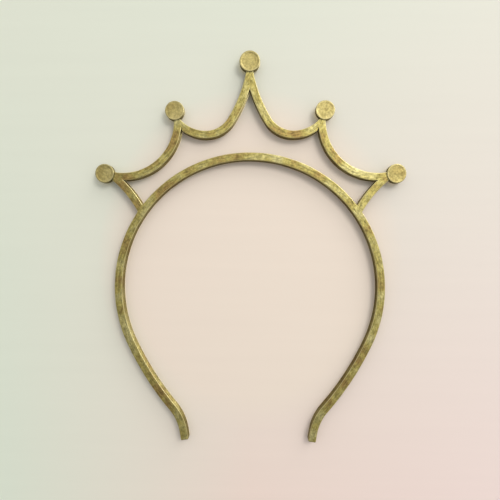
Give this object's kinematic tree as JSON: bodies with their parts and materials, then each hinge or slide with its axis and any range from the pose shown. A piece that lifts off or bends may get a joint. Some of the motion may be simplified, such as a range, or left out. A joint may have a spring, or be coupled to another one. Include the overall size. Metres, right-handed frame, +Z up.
{
  "type": "crown headband",
  "caption": "Flat brass crown headband: a springy horseshoe hoop topped by scalloped swags, with a round disc on every peak.",
  "frame": {"origin": "the point where the hoop's underside rests on top of the head, midway through the bar's thickness", "axes": "upright as worn: +Z up to the centre peak, +Y from the front face to the flat back, +X along the crown's width"},
  "size_m": [0.1568, 0.0049, 0.1984],
  "materials": {
    "bar_brass": "antiqued, brushed and worn",
    "disc_brass": "antiqued, brushed and worn"
  },
  "bodies": {
    "crown": {"hoop_arch": "bar_brass", "left_strut": "bar_brass", "right_strut": "bar_brass", "left_inner_swag": "bar_brass", "right_inner_swag": "bar_brass", "left_outer_swag": "bar_brass", "right_outer_swag": "bar_brass", "centre_disc": "disc_brass", "left_inner_disc": "disc_brass", "right_inner_disc": "disc_brass", "left_outer_disc": "disc_brass", "right_outer_disc": "disc_brass"},
    "left_leg": {"left_leg": "bar_brass"},
    "right_leg": {"right_leg": "bar_brass"}
  },
  "joints": [
    {"name": "left_leg_flex", "type": "hinge", "parent": "crown", "child": "left_leg", "pos_m": [-0.06287, 0, -0.04207], "axis": [0, 1, 0], "range_deg": [-2, 6], "stiffness_Nm_per_rad": 20},
    {"name": "right_leg_flex", "type": "hinge", "parent": "crown", "child": "right_leg", "pos_m": [0.06287, 0, -0.04207], "axis": [0, -1, 0], "range_deg": [-2, 6], "stiffness_Nm_per_rad": 20}
  ]
}
